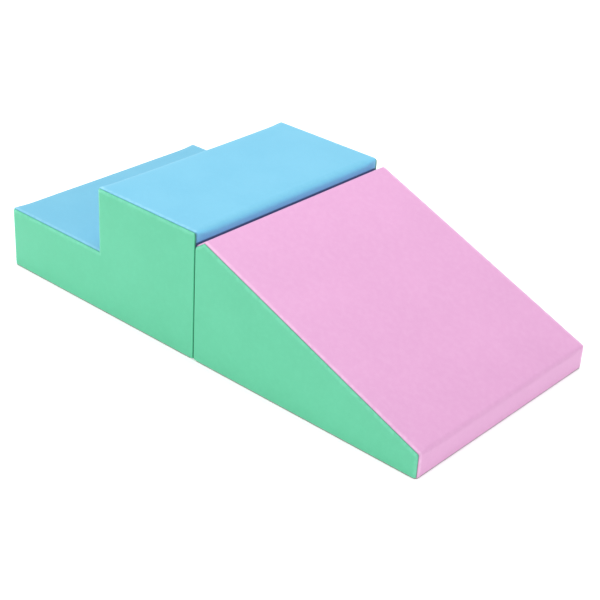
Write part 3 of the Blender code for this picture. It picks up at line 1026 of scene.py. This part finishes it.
# Colours: the covers' main tone, the tone it drifts to, and the paler tone of its flecks and of its
# painted edge highlights
GREEN = ((0.099, 0.530, 0.310), (0.090, 0.505, 0.290), (0.200, 0.690, 0.470))
BLUE = ((0.166, 0.518, 0.720), (0.150, 0.494, 0.698), (0.320, 0.680, 0.860))
PINK = ((0.724, 0.360, 0.613), (0.700, 0.346, 0.594), (0.880, 0.580, 0.790))
# Colour of the painted shadow line in the gap where the ramp's top meets the stair's back face
CREVICE_SHADOW_COLOUR = (0.035, 0.065, 0.170)
HOOK = (0.720, 0.730, 0.740)
LOOP = (0.760, 0.760, 0.770)

LOOKS = {
    "green": leatherette("green_leatherette", *GREEN),
    # The blue carries the painted shadow line under the ramp's top
    "blue": leatherette("blue_leatherette", *BLUE, CREVICE_SHADOW_COLOUR),
    # Painted shade: the front strip's blue is 5% darker, for the shade that the riser casts on the
    # lower tread
    "shaded_blue": leatherette("shaded_blue_leatherette", *(dimmed(tone, 0.95) for tone in BLUE)),
    "pink": leatherette("pink_leatherette", *PINK),
    "binding": woven("binding_tape", (0.330, 0.315, 0.300), 0.7 * MM, 0.15 * MM),
    "base": woven("base_fabric", (0.105, 0.100, 0.095), 0.9 * MM, 0.20 * MM),
    "tape": woven("zip_tape", (0.050, 0.052, 0.055), 0.5 * MM, 0.12 * MM),
    "hook": woven("hook_tape", HOOK, 0.8 * MM, 0.12 * MM, directions="ZY"),
    "loop": woven("loop_tape", LOOP, 0.6 * MM, 0.15 * MM, 0.92, directions="ZY"),
    "rubber": moulded("dot_rubber", (0.045, 0.045, 0.047), 0.62),
    "coil": moulded("zip_coil", (0.040, 0.042, 0.045), 0.40),
    "hook_pile": moulded("hook_pile", HOOK, 0.42),
    "loop_pile": moulded("loop_pile", LOOP, 0.80),
    "metal": plated("zip_metal"),
    "core_foam": foamed("core_foam", (0.840, 0.850, 0.840), 1.1 * MM, 0.35 * MM),
    "pad_sponge": foamed("pad_sponge", (0.820, 0.780, 0.560), 0.7 * MM, 0.45 * MM),
    "thread_green": twisted("thread_green", (0.150, 0.500, 0.330)),
    "thread_dark": twisted("thread_dark", (0.060, 0.060, 0.062)),
    "thread_pale": twisted("thread_pale", (0.600, 0.610, 0.620)),
}


# Stage


def add_camera():
    """The photo's view, fitted to the object's edges."""
    data = bpy.data.cameras.new("camera")
    data.lens = 82.9
    data.sensor_width = 36.0
    camera = linked("camera", data)
    heading, downward, roll = 0.70068, 0.50210, 0.05917
    turn = Matrix.Rotation(heading, 4, "Z") @ Matrix.Rotation(math.pi / 2.0 - downward, 4, "X")
    place = Matrix.Translation((1.81561, -2.10338, 1.56253))
    camera.matrix_world = place @ turn @ Matrix.Rotation(roll, 4, "Z")
    bpy.context.scene.camera = camera


def add_area(name, place, size, power, colour=(1.0, 1.0, 1.0)):
    """A square light that points at the middle of the object."""
    data = bpy.data.lights.new(name, "AREA")
    data.size = size
    data.energy = power
    data.color = colour
    light = linked(name, data)
    light.location = place
    aim = Vector((0.0, 0.0, 0.1)) - Vector(place)
    light.rotation_euler = aim.to_track_quat("-Z", "Y").to_euler()


def add_floor():
    """A white floor, just below the object."""
    shape = bmesh.new()
    bmesh.ops.create_grid(shape, x_segments=1, y_segments=1, size=40.0)
    mesh = bpy.data.meshes.new("floor")
    shape.to_mesh(mesh)
    shape.free()
    look = Look("floor")
    tint = look.spread(look.noise(0.8), 0.3, 0.7)
    body = look.blend(tint, (0.93, 0.93, 0.93), (0.95, 0.95, 0.95))
    mesh.materials.append(look.finish(
        body, 0.75, Emission_Color=(1.0, 1.0, 1.0), Emission_Strength=0.36))
    floor = linked("floor", mesh)
    floor.location.z = -0.2 * MM


def add_studio():
    """A white floor in a bright, soft studio."""
    scene = bpy.context.scene
    scene.view_settings.view_transform = "Standard"
    world = bpy.data.worlds.new("studio")
    world.use_nodes = True
    sky = world.node_tree.nodes["Background"]
    sky.inputs["Color"].default_value = (1.0, 1.0, 1.0, 1.0)
    sky.inputs["Strength"].default_value = 0.74
    scene.world = world
    add_area("key", (-0.3, 0.2, 3.5), 2.2, 66.0)
    add_area("front", (-1.8, -3.2, 1.1), 2.0, 25.0)
    add_area("fill", (3.2, 0.2, 2.0), 2.2, 4.0, (0.80, 0.93, 1.0))
    add_floor()


# Covers


def build_covers():
    fields = {"stair": None, "ramp": None}
    for block, outline, _ in BLOCKS:
        fields[block] = blow_up(f"{block}_cover_copy", outline)
    for block, outline, rounds in BLOCKS:
        for side, label in SIDES:
            panel = side_panel(outline, rounds, side, fields[block])
            add_piece(f"{block}_side_{label}", panel, "green", block, "green_leatherette",
                      f"{block}_side_panel_{label}", smooth=True, thick=COVER, fill=0.9)
    for block, part, look, colour, run, rounds in (
            # The front strip wears the blue painted 5% darker as shade
            ("stair", "front", "shaded_blue", "blue", STAIR_FRONT_RUN, STAIR_FRONT_ROUNDS),
            ("stair", "back", "blue", "blue", STAIR_BACK_RUN, STAIR_BACK_ROUNDS),
            ("ramp", "slope", "pink", "pink", RAMP_RUN, RAMP_RUN_ROUNDS)):
        cover = strip(run, rounds, fields[block])
        add_piece(f"{block}_{part}_cover", cover, look, block, f"{colour}_leatherette",
                  f"{block}_{part}_strip", smooth=True, thick=COVER, fill=0.9)


def seam_line(corners, rounds, side):
    """The seam's path over a block, with the direction out of the groove at each point."""
    counts = run_counts(corners, closed=False)
    lines = []
    for depth in (SEAM_DEPTH, 0.0):
        insets, y_in = section(rounds, SEAM_ANGLE, depth)
        run = run_points(shrink(corners, insets[:len(corners) - 1], False), counts, False)
        lines.append([Vector((x, side * (HALF_WIDTH - y_in), z)) for x, z in run])
    return [(floor, (crest - floor).normalized()) for floor, crest in zip(*lines)]


def build_seam_threads():
    """Thread glimpsed in the seam grooves: one short bar across the groove at each stitch."""
    pitch, length, radius = 4.5 * MM, 1.5 * MM, 0.24 * MM
    for block, outline, rounds in BLOCKS:
        net = ([], [])
        for side, _ in SIDES:
            line = seam_line(outline, rounds, side)
            for place, along, run in stitch_spots([point for point, _ in line], pitch):
                up = line[run][1]
                slant = (along.cross(up).normalized() + along * 0.25).normalized()
                add_stitch(net, place + up * 0.55 * MM, slant, up, length, radius)
        add_piece(f"{block}_seam_thread", net, "thread_green", block, "green_leatherette")


# Underside


def block_ends(prefix):
    """The X of a block's two end faces."""
    low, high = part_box(f"{prefix}_side_panel_near")
    return low.x, high.x


def build_binding(prefix):
    """Binding tape sewn round the foot of a block, between the cover and the base fabric."""
    start, end = block_ends(prefix)
    radius, inset = 1.05 * MM, 1.9 * MM
    outline = rounded_rectangle(
        (start + inset, -HALF_WIDTH + inset), (end - inset, HALF_WIDTH - inset), 8.5 * MM)
    path = []
    for first, second in zip(outline, outline[1:] + outline[:1]):
        pieces = max(1, round((second - first).length / (6 * MM)))
        for step in range(pieces):
            path.append(Vector((*first.lerp(second, step / pieces), 1.2 * MM)))
    net = ([], [])
    add_tube(net, path, radius, sides=10, closed=True)
    for vert in net[0]:
        vert.z += 0.12 * MM * noise.noise(vert * 160.0)
    add_piece(f"{prefix}_foot_binding", net, "binding", prefix, "base_fabric")


def base_profile(side):
    """Section of a bottom panel: flat below the block, then turned up into the zip channel."""
    outer, inner = HALF_WIDTH - BASE_INSET, CHANNEL
    low, lip_top, bend = 0.40 * MM, 6.4 * MM, 1.4 * MM
    cuts = 26
    points = [(side * (outer + (inner + bend - outer) * step / cuts), low)
              for step in range(cuts + 1)]
    for step in range(1, 6):
        angle = math.pi / 2.0 * step / 5
        points.append((side * (inner + bend * (1.0 - math.sin(angle))),
                       low + bend * (1.0 - math.cos(angle))))
    for step in range(1, 4):
        points.append((side * inner, low + bend + (lip_top - low - bend) * step / 3))
    return points


def build_base_panel(prefix, side, label):
    """Anti-slip base fabric: a slightly wavy sheet that turns up beside the zip."""
    start, end = block_ends(prefix)
    start, end = start + BASE_INSET, end - BASE_INSET
    rows, corner, turn_up = 300, 8 * MM, 5.3 * MM
    shape = bmesh.new()
    grid = []
    for row in range(rows + 1):
        x = start + (end - start) * row / rows
        edge = max(min(x - start, end - x), 0.0)
        cut = corner - math.sqrt(corner ** 2 - max(corner - edge, 0.0) ** 2)
        widest = HALF_WIDTH - BASE_INSET - cut
        line = []
        for y, z in base_profile(side):
            y = math.copysign(min(abs(y), widest), y)
            wave = 0.18 * MM * (1.0 + noise.noise(Vector((x * 22.0, y * 22.0, 0.4))))
            line.append(shape.verts.new((x, y, z + (wave if z < 0.5 * MM else 0.0))))
        grid.append(line)
    turn_out(shape, add_bands(shape, grid)[0], -1.0)
    panel = add_piece(f"{prefix}_base_{label}", shape, "base", prefix, "base_fabric",
                      f"{prefix}_bottom_panel_{label}", smooth=True, thick=0.45 * MM)


def build_dots(prefix):
    """Low rubber domes that stand on the floor, in staggered rows under a block."""
    start, end = block_ends(prefix)
    pitch, radius, margin = 12 * MM, 1.9 * MM, 11 * MM
    dome = ((0.62, 0.0), (0.96, 0.25 * MM), (1.0, 0.55 * MM))
    rows, line = (start + margin, end - margin), (24 * MM, HALF_WIDTH - margin)
    net = ([], [])
    for y, x in staggered(rows, line, pitch, pitch * math.sqrt(3.0) / 2.0, pitch / 2.0):
        for middle in (y, -y):
            add_rings(net, [[(*spot, z) for spot in disc(x, middle, radius * share, 8)]
                            for share, z in dome])
    add_piece(f"{prefix}_grip_dots", net, "rubber", prefix, "base_fabric")


def build_base_stitches(prefix):
    """Rows of stitches that hold the base fabric to the binding and beside the zip."""
    start, end = block_ends(prefix)
    level, inset, clear = 0.42 * MM, 5.5 * MM, 6 * MM
    paths = []
    for side, _ in SIDES:
        for y in (side * (HALF_WIDTH - inset), side * 20.5 * MM):
            paths.append(((start + clear, y, level), (end - clear, y, level)))
        for x in (start + inset, end - inset):
            paths.append(((x, side * 21 * MM, level), (x, side * (HALF_WIDTH - clear), level)))
    add_sewing(f"{prefix}_base_thread", "thread_dark", prefix, "base_fabric", paths,
               DOWN, 4.2 * MM, 3.0 * MM, 0.22 * MM)


# Zips


def side_span(low, high):
    """The side that a box lies on, with its inner and outer distances from the middle."""
    inner, outer = sorted((abs(low.y), abs(high.y)))
    return (-1.0 if high.y < 0.0 else 1.0), inner, outer


def build_zip_tape(prefix, label):
    """One zip tape: a thin woven band, sewn down with two rows of stitches."""
    node = f"{prefix}_zip_tape_{label}"
    low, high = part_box(node)
    side, inner, outer = side_span(low, high)
    rows, columns = 130, 12
    shape = bmesh.new()
    grid = []
    for row in range(rows + 1):
        x = low.x + (high.x - low.x) * row / rows
        line = []
        for column in range(columns + 1):
            y = side * (inner + (outer - inner) * column / columns)
            ripple = 0.10 * MM * noise.noise(Vector((x * 60.0, y * 60.0, 2.0)))
            line.append(shape.verts.new((x, y, low.z + 0.12 * MM + ripple)))
        grid.append(line)
    turn_out(shape, add_bands(shape, grid)[0], -1.0)
    tape = add_piece(f"{prefix}_tape_{label}", shape, "tape", prefix, "zip_tape", node,
                     smooth=True, thick=0.35 * MM)
    start, end, level = low.x + 2 * MM, high.x - 2 * MM, low.z + 0.1 * MM
    paths = [((start, y, level), (end, y, level))
             for y in (side * (inner + 4.2 * MM), side * (outer - 2.4 * MM))]
    add_sewing(f"{prefix}_tape_thread_{label}", "thread_dark", prefix, "zip_tape", paths,
               DOWN, 3.4 * MM, 2.5 * MM, 0.16 * MM)


def build_zip_coil(prefix, label):
    """One zip coil: a flattened nylon spiral, offset by half a turn from the other one."""
    node = f"{prefix}_zip_coil_{label}"
    low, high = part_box(node)
    wire, pitch, turn_points = 0.26 * MM, 1.3 * MM, 8
    side, _, outer = side_span(low, high)
    inner = 0.50 * MM
    middle_y, reach_y = side * (inner + outer) / 2.0, (outer - inner) / 2.0 - wire
    middle_z, reach_z = (low.z + high.z) / 2.0, (high.z - low.z) / 2.0 - wire
    turns = int((high.x - low.x - 2.0 * wire) / pitch)
    points = []
    for step in range(turns * turn_points + 1):
        angle = 2.0 * math.pi * step / turn_points + (0.0 if side < 0.0 else math.pi)
        points.append(Vector((
            low.x + wire + pitch * step / turn_points,
            middle_y + reach_y * math.cos(angle), middle_z + reach_z * math.sin(angle))))
    net = ([], [])
    add_tube(net, points, wire, sides=5)
    add_piece(f"{prefix}_coil_{label}", net, "coil", prefix, "zip_coil", node)


def build_end_tab(prefix, label):
    """A folded fabric tab over one end of the zip, sewn down with a crossed square."""
    node = f"{prefix}_zip_end_tab_{label}"
    low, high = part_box(node)
    outer, inner = 2.2 * MM, 0.2 * MM
    start, end = (inner, outer) if label == "front" else (outer, inner)
    shape = bmesh.new()
    add_bar(shape, (low.x + start, high.x - end), (low.y + inner, high.y - inner), 1.5 * MM,
            0.25 * MM, high.z - 0.1 * MM, 0.2 * MM)
    add_piece(f"{prefix}_end_tab_{label}", shape, "base", prefix, "base_fabric", node)
    x, y = (low.x + 5 * MM, high.x - 5 * MM), (low.y + 3 * MM, high.y - 3 * MM)
    crossed = (((0, 0), (1, 0), (1, 1), (0, 1), (0, 0), (1, 1)), ((1, 0), (0, 1)))
    paths = [[(x[i], y[j], 0.26 * MM) for i, j in path] for path in crossed]
    add_sewing(f"{prefix}_end_tab_thread_{label}", "thread_dark", prefix, "base_fabric", paths,
               DOWN, 2.9 * MM, 2.2 * MM, 0.17 * MM)


def build_zip_stop(prefix, label):
    """A pressed metal clamp on the coil, with two pinched ridges."""
    node = f"{prefix}_zip_stop_{label}"
    low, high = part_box(node)
    shape = bmesh.new()
    add_bar(shape, (low.x, high.x), (low.y, high.y), 0.5 * MM, low.z, high.z, 0.25 * MM)
    inset = 0.35 * MM
    for share in (0.33, 0.67):
        x = low.x + (high.x - low.x) * share
        add_bar(shape, around(x, 0.22 * MM), (low.y + inset, high.y - inset), 0.15 * MM,
                low.z - 0.12 * MM, low.z + 0.1 * MM, 0.08 * MM)
    add_piece(f"{prefix}_stop_{label}", shape, "metal", prefix, "zip_metal", node)


def build_slider(prefix, opens):
    """The zip slider: two rounded plates, flanges, the post, two lugs and the pin."""
    node = f"{prefix}_zip_slider"
    low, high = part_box(node)
    centre = (low.x + high.x) / 2.0
    half_x, half_y = (high.x - low.x) / 2.0, (high.y - low.y) / 2.0
    plate_low, plate_top, flange_top = 4.0 * MM, 5.0 * MM, 6.7 * MM
    high_low, high_top = 7.8 * MM, 8.8 * MM
    lug_gap, lug_wall, lug_radius = 4.4 * MM, 1.0 * MM, 1.2 * MM
    wide, narrow = half_y, half_y * 0.72
    shield = (
        (-1.0, wide * 0.55), (-0.82, wide), (0.05, wide), (0.60, narrow), (0.95, narrow * 0.9),
        (1.0, narrow * 0.6),
    )
    outline = both_sides([Vector((centre - opens * half_x * x, y)) for x, y in shield])
    shape = bmesh.new()
    add_plate(shape, outline, plate_low, plate_top, 0.25 * MM)
    add_plate(shape, outline, high_low, high_top, 0.25 * MM)
    foot = plate_low + 0.4 * MM
    lug = [Vector((centre + lug_radius, foot)), Vector((centre - lug_radius, foot))]
    for step in range(9):
        angle = math.pi + math.pi * step / 8
        lug.append(Vector((centre + lug_radius * math.cos(angle),
                           PIN_HEIGHT + lug_radius * math.sin(angle))))
    for side, _ in SIDES:
        x = sorted((centre + opens * half_x * 0.78, centre - opens * half_x * 0.05))
        y = sorted((side * (half_y - 0.8 * MM), side * half_y))
        add_bar(shape, x, y, 0.3 * MM, plate_top - 0.3 * MM, flange_top, 0.15 * MM)
        walls = sorted((side * lug_gap / 2.0, side * (lug_gap / 2.0 + lug_wall)))
        add_plate(shape, lug, *walls, 0.15 * MM, along_y)
    add_bar(shape, around(centre, half_x * 0.8), around(0.0, 0.4 * MM), 0.35 * MM,
            plate_top - 0.2 * MM, high_low + 0.2 * MM, 0.05 * MM)
    reach = lug_gap / 2.0 + lug_wall
    add_plate(shape, disc(centre, PIN_HEIGHT, 0.5 * MM), -reach, reach, 0.1 * MM, along_y)
    rib = centre - opens * half_x * 0.45
    add_bar(shape, around(rib, 0.3 * MM), around(0.0, 2.0 * MM), 0.25 * MM,
            *around(plate_low, 0.2 * MM), 0.1 * MM)
    add_piece(f"{prefix}_slider", shape, "metal", node, "zip_metal", node)


def build_pull(prefix, opens):
    """The pull tab: an eye on the pin, a waisted blade and a ribbed grip."""
    node = f"{prefix}_zip_pull"
    low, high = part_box(node)
    slider_low, slider_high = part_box(f"{prefix}_zip_slider")
    centre = (slider_low.x + slider_high.x) / 2.0
    reach = abs((high.x if opens > 0.0 else low.x) - centre)
    eye, hole, half_eye = 1.4 * MM, 0.8 * MM, 1.7 * MM
    half_neck, half_width, thick = half_eye - 0.3 * MM, (high.y - low.y) / 2.0, 0.5 * MM
    shape = bmesh.new()
    rings = [[shape.verts.new((spot.x, y, spot.y)) for spot in disc(centre, PIN_HEIGHT, radius, 24)]
             for y in (-half_eye, half_eye) for radius in (eye, hole)]
    for first, second in ((0, 2), (3, 1), (1, 0), (2, 3)):
        add_bands(shape, (rings[first], rings[second]), closed=True)
    side = (
        (1.1 * MM, half_neck), (2.7 * MM, half_neck), (4.9 * MM, half_width * 0.92),
        (8.0 * MM, half_width), (reach - 6.0 * MM, half_width * 0.88),
        (reach - 2.4 * MM, half_width * 0.95), (reach - 0.7 * MM, half_width * 0.62),
        (reach, half_width * 0.25),
    )
    outline = both_sides([Vector((centre + opens * x, y)) for x, y in side])
    add_plate(shape, outline, *around(PIN_HEIGHT, thick), 0.2 * MM)
    for rib in range(4):
        x = centre + opens * (reach - (4.0 + rib * 1.7) * MM)
        for level in around(PIN_HEIGHT, thick):
            add_bar(shape, around(x, 0.35 * MM), around(0.0, 2.0 * MM), 0.3 * MM,
                    *around(level, 0.15 * MM), 0.1 * MM)
    bmesh.ops.recalc_face_normals(shape, faces=shape.faces)
    add_piece(f"{prefix}_pull", shape, "metal", node, "zip_metal", node)


# Hook-and-loop strips


def add_pile(net, root, face, kind):
    """Add one hook, or one loose loop, standing on a strip."""
    turn = noise.noise(root * 900.0)
    if kind == "hook":
        across, height, wire = Vector((0.0, 0.0, math.copysign(1.0, turn))), 1.0, 0.09 * MM
        shape = ((0.0, 0.0), (0.45, 0.0), (0.78, 0.14), (0.84, 0.36), (0.62, 0.50))
    else:
        across, wire = Vector((0.0, math.cos(turn * 9.0), math.sin(turn * 9.0))), 0.07 * MM
        height = 0.62 + 0.2 * noise.noise(root * 700.0 + Vector((5.0, 0.0, 0.0)))
        shape = ((0.0, -0.55), (0.6, -0.8), (1.0, 0.0), (0.6, 0.8), (0.0, 0.55))
    up = Vector((face * height * MM, 0.0, 0.0))
    add_tube(net, [root + up * rise + across * over * MM for rise, over in shape], wire, sides=4)


def build_grip_strip(prefix, kind, label):
    """A sewn-on strip of hooks or loops on a block's end face."""
    node = f"{prefix}_{kind}_strip_{label}"
    low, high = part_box(node)
    face, back = (1.0, low.x) if kind == "hook" else (-1.0, high.x)
    front = back + face * 0.5 * MM
    shape = bmesh.new()
    add_bar(shape, (low.y, high.y), (low.z, high.z), 3 * MM, *sorted((back, front)), 0.15 * MM,
            along_x)
    add_piece(f"{prefix}_{kind}_tape_{label}", shape, kind, prefix, f"{kind}_tape", node)

    inset = 2.2 * MM
    border = rounded_rectangle(
        (low.y + inset, low.z + inset), (high.y - inset, high.z - inset), 2 * MM)
    add_sewing(f"{prefix}_{kind}_thread_{label}", "thread_pale", prefix, f"{kind}_tape",
               [[(front, *spot) for spot in border + border[:1]]],
               Vector((face, 0.0, 0.0)), 3.2 * MM, 2.3 * MM, 0.17 * MM)

    pile = ([], [])
    pitch, margin = 2.0 * MM, 4.2 * MM
    rows, line = (low.z + margin, high.z - margin), (low.y + margin, high.y - margin)
    for y, z in staggered(rows, line, pitch, pitch * 0.8, pitch / 2.0):
        add_pile(pile, Vector((front - face * 0.1 * MM, y, z)), face, kind)
    add_piece(f"{prefix}_{kind}_pile_{label}", pile, f"{kind}_pile", prefix, f"{kind}_tape")


# Foam


def drawn_in(vert, gap, kind):
    """A foam corner's place once its free faces have moved in; glued faces stay put."""
    place = vert.co.copy()
    moves = []
    for face in vert.link_faces:
        if abs(face.normal.y) > 0.5:
            place.y = vert.co.y - math.copysign(gap, face.normal.y)
            continue
        normal = Vector((face.normal.x, face.normal.z))
        glued = abs(normal.y) > 0.99 if kind == "core_foam" else normal.y < -0.9
        if all(normal.dot(other) < 0.999 for other, _ in moves):
            moves.append((normal, 0.0 if glued else gap))
    if len(moves) > 1:
        (first, near), (second, far) = moves[:2]
        across = first.cross(second)
        place.x -= (near * second.y - far * first.y) / across
        place.z -= (far * first.x - near * second.x) / across
    return place


def build_foam(node, prefix, kind):
    """A foam piece inside the cover: the frame's shape, drawn in a little, with soft edges."""
    draw_in, short_edge = 3.2 * MM, 1.4 * MM
    shape = bmesh.new()
    shape.from_mesh(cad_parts[node].data)
    bmesh.ops.remove_doubles(shape, verts=shape.verts, dist=short_edge)
    bmesh.ops.dissolve_limit(
        shape, angle_limit=math.radians(1.0), verts=shape.verts, edges=shape.edges)
    shape.normal_update()
    places = [drawn_in(vert, draw_in, kind) for vert in shape.verts]
    for vert, place in zip(shape.verts, places):
        vert.co = place
    sharp = [edge for edge in shape.edges
             if len(edge.link_faces) == 2 and edge.calc_face_angle() > math.radians(40.0)]
    bmesh.ops.bevel(shape, geom=sharp, offset=draw_in * 0.6, segments=3, profile=0.5,
                    affect="EDGES", clamp_overlap=True)
    add_piece(f"{node}_foam", shape, kind, prefix, kind, node, fill=1.0)


# The whole set


def build_inside(prefix, opens, pads):
    """A block's underside, zip and foam; opens is the way in which the zip opens along X."""
    build_binding(prefix)
    build_dots(prefix)
    build_base_stitches(prefix)
    for side, label in SIDES:
        build_base_panel(prefix, side, label)
        build_zip_tape(prefix, label)
        build_zip_coil(prefix, label)
    for label in ("back", "front"):
        build_end_tab(prefix, label)
    for label in ("closed", "open_near", "open_far"):
        build_zip_stop(prefix, label)
    build_slider(prefix, opens)
    build_pull(prefix, opens)
    for part in ("plank_bottom", "plank_lower", "plank_upper", "plank_top",
                 "base_sheet_near", "base_sheet_far"):
        build_foam(f"{prefix}_{part}", prefix, "core_foam")
    for pad in pads:
        build_foam(f"{prefix}_{pad}", prefix, "pad_sponge")


add_camera()
add_studio()
build_covers()
build_seam_threads()
build_inside("stair", 1.0, ("lower_tread_pad", "upper_tread_pad"))
build_inside("ramp", -1.0, ("slope_pad",))
for _, end in SIDES:
    build_grip_strip("stair", "hook", end)
    build_grip_strip("ramp", "loop", end)
